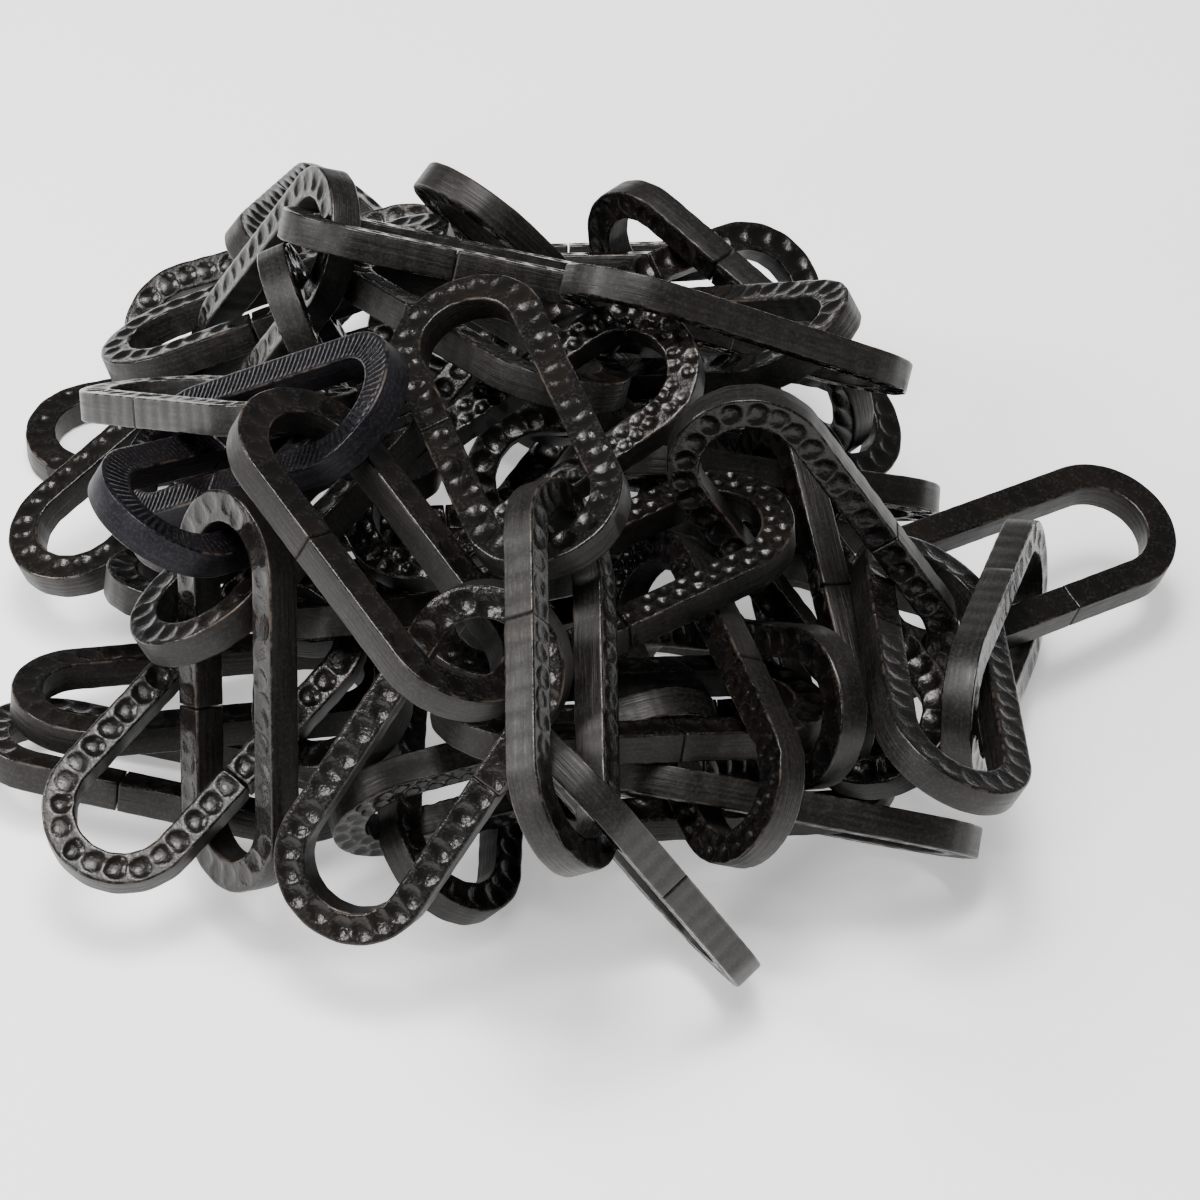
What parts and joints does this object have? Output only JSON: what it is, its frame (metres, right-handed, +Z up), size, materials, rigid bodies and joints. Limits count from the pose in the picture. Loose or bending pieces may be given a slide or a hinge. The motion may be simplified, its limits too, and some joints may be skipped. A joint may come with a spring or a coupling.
{
  "type": "heap of iron chain",
  "caption": "Loose heap of hammered black iron chain, long oval links of square bar, lying as it fell with a free end to each side.",
  "frame": {"origin": "middle of the heap's footprint, on the floor it lies on", "axes": "+Z up from the floor, -Y towards the viewer of the picture, +X to the viewer's right, where the tail trails off"},
  "size_m": [0.2346, 0.254, 0.0988],
  "materials": {
    "blackened_iron": "near-black satin, hand-hammered, worn brown along the edges"
  },
  "bodies": {
    "root": {"front_link_1": "blackened_iron", "front_link_2": "blackened_iron", "front_link_3": "blackened_iron", "front_link_4": "blackened_iron", "front_link_5": "blackened_iron", "front_link_6": "blackened_iron", "front_link_7": "blackened_iron", "front_link_8": "blackened_iron", "front_link_9": "blackened_iron", "front_link_10": "blackened_iron", "front_link_11": "blackened_iron", "left_link_1": "blackened_iron", "left_link_2": "blackened_iron", "left_link_3": "blackened_iron", "left_link_4": "blackened_iron", "left_link_5": "blackened_iron", "left_link_6": "blackened_iron", "left_link_7": "blackened_iron", "left_link_8": "blackened_iron", "left_link_9": "blackened_iron", "left_link_10": "blackened_iron", "left_link_11": "blackened_iron", "left_link_12": "blackened_iron", "left_link_13": "blackened_iron", "crown_link_1": "blackened_iron", "crown_link_2": "blackened_iron", "crown_link_3": "blackened_iron", "crown_link_4": "blackened_iron", "crown_link_5": "blackened_iron", "crown_link_6": "blackened_iron", "crown_link_7": "blackened_iron", "crown_link_8": "blackened_iron", "crown_link_9": "blackened_iron", "right_link_1": "blackened_iron", "right_link_2": "blackened_iron", "right_link_3": "blackened_iron", "right_link_4": "blackened_iron", "right_link_5": "blackened_iron", "right_link_6": "blackened_iron", "right_link_7": "blackened_iron", "right_link_8": "blackened_iron", "tail_link_1": "blackened_iron", "tail_link_2": "blackened_iron", "tail_link_3": "blackened_iron", "back_link_1": "blackened_iron", "back_link_2": "blackened_iron", "back_link_3": "blackened_iron", "back_link_4": "blackened_iron", "back_link_5": "blackened_iron", "back_link_6": "blackened_iron", "back_link_7": "blackened_iron", "inner_link_1": "blackened_iron", "inner_link_2": "blackened_iron", "inner_link_3": "blackened_iron", "inner_link_4": "blackened_iron"}
  },
  "joints": []
}
